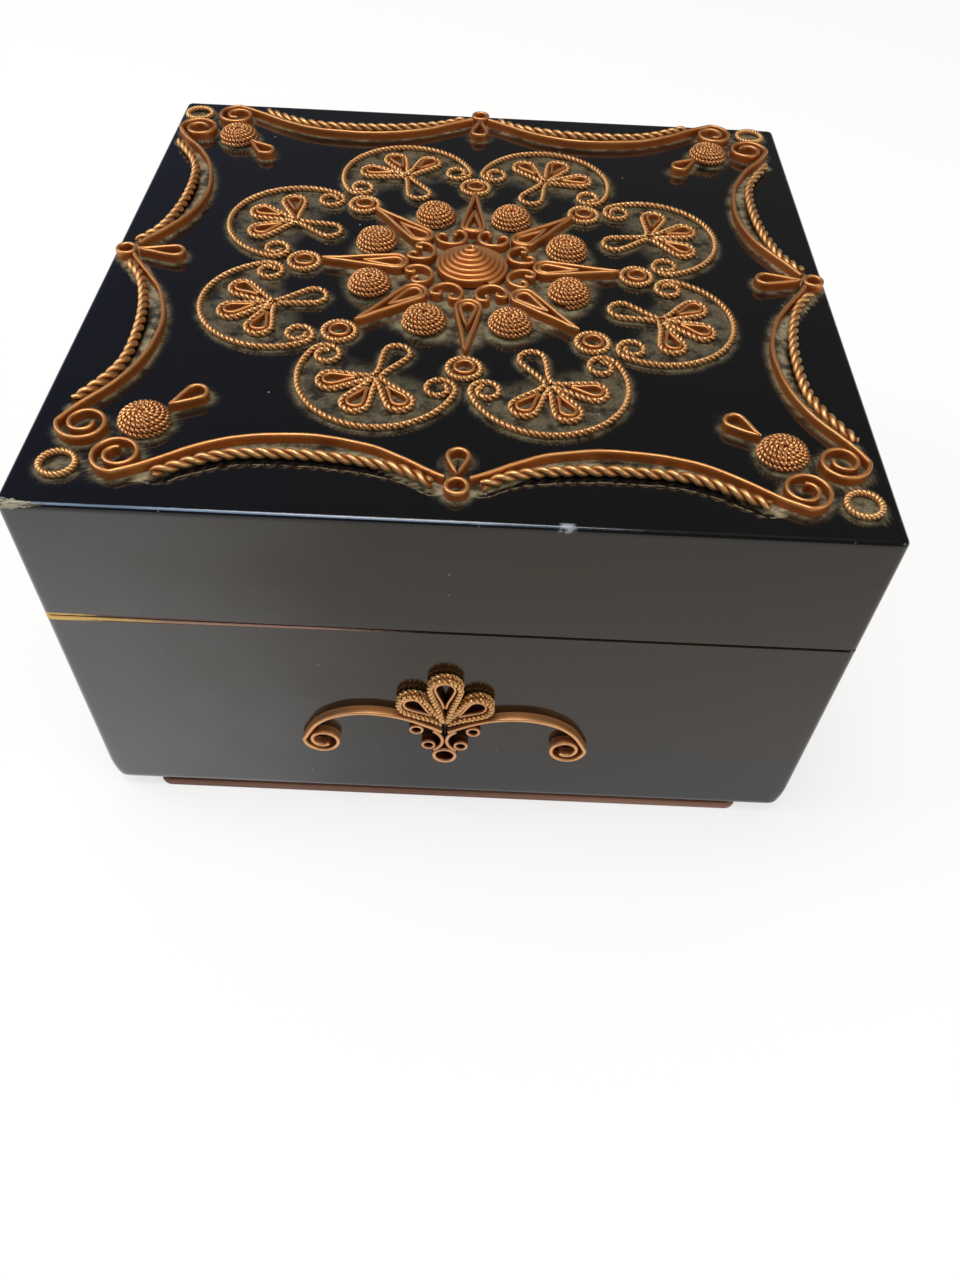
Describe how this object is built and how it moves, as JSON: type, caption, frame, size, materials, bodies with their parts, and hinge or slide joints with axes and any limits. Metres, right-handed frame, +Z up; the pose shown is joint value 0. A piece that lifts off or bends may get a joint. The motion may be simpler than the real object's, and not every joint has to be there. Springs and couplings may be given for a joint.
{
  "type": "jewelry box",
  "caption": "Square black lacquered wooden box with a hinged lid and a velvet lining, with ornament of rolled ribbon and twisted copper wire on the lid and front.",
  "frame": {"origin": "centre of the underside of the foot board, on the surface that the box stands on", "axes": "+Z up, the ornamented front faces -Y, the hinges are at +Y, +X to the right seen from the front"},
  "size_m": [0.15, 0.1526, 0.0919],
  "materials": {
    "lacquer": "gloss black lacquer over wood",
    "foot_wood": "reddish brown stained board",
    "pale_wood": "bare pale wood",
    "velvet": "dark red velvet",
    "brass": "aged brass",
    "ribbon_wire": "satin copper ribbon",
    "twisted_wire": "twisted copper wire",
    "coiled_wire": "dull coiled copper wire"
  },
  "bodies": {
    "base": {"foot_board": "foot_wood", "base_front": "lacquer", "base_back": "lacquer", "base_left": "lacquer", "base_right": "lacquer", "base_floor": "pale_wood", "lip_front": "pale_wood", "lip_back": "pale_wood", "lip_left": "pale_wood", "lip_right": "pale_wood", "base_lining_front": "velvet", "base_lining_back": "velvet", "base_lining_left": "velvet", "base_lining_right": "velvet", "base_pad": "velvet", "hinge_base_leaf_left": "brass", "hinge_base_leaf_right": "brass", "hinge_pin_left": "brass", "hinge_pin_right": "brass", "hinge_base_screws": "brass", "front_scroll_left": "ribbon_wire", "front_scroll_right": "ribbon_wire", "front_drop_cords": "twisted_wire", "front_drop_wires": "ribbon_wire", "front_curls": "ribbon_wire", "front_rings": "ribbon_wire"},
    "lid": {"lid_front": "lacquer", "lid_back": "lacquer", "lid_left": "lacquer", "lid_right": "lacquer", "lid_top": "lacquer", "lid_lining_front": "velvet", "lid_lining_back": "velvet", "lid_lining_left": "velvet", "lid_lining_right": "velvet", "lid_pad": "velvet", "hinge_lid_leaf_left": "brass", "hinge_lid_leaf_right": "brass", "hinge_lid_screws": "brass", "centre_cone": "ribbon_wire", "centre_scrolls": "ribbon_wire", "star_drops": "ribbon_wire", "star_inner_drops": "ribbon_wire", "rosettes": "coiled_wire", "joint_rings": "twisted_wire", "joint_cores": "ribbon_wire", "petal_scrolls": "twisted_wire", "petal_loops": "twisted_wire", "petal_wires": "ribbon_wire", "border_ribbon_front": "ribbon_wire", "border_ribbon_back": "ribbon_wire", "border_ribbon_left": "ribbon_wire", "border_ribbon_right": "ribbon_wire", "border_cords": "twisted_wire", "mid_rings": "ribbon_wire", "mid_drops": "ribbon_wire", "corner_rings": "twisted_wire", "corner_rosettes": "coiled_wire", "corner_drops": "ribbon_wire"}
  },
  "joints": [
    {"name": "lid_hinge", "type": "hinge", "parent": "base", "child": "lid", "pos_m": [0, 0.0726, 0.05815], "axis": [-1, 0, 0], "range_deg": [0, 100]}
  ]
}
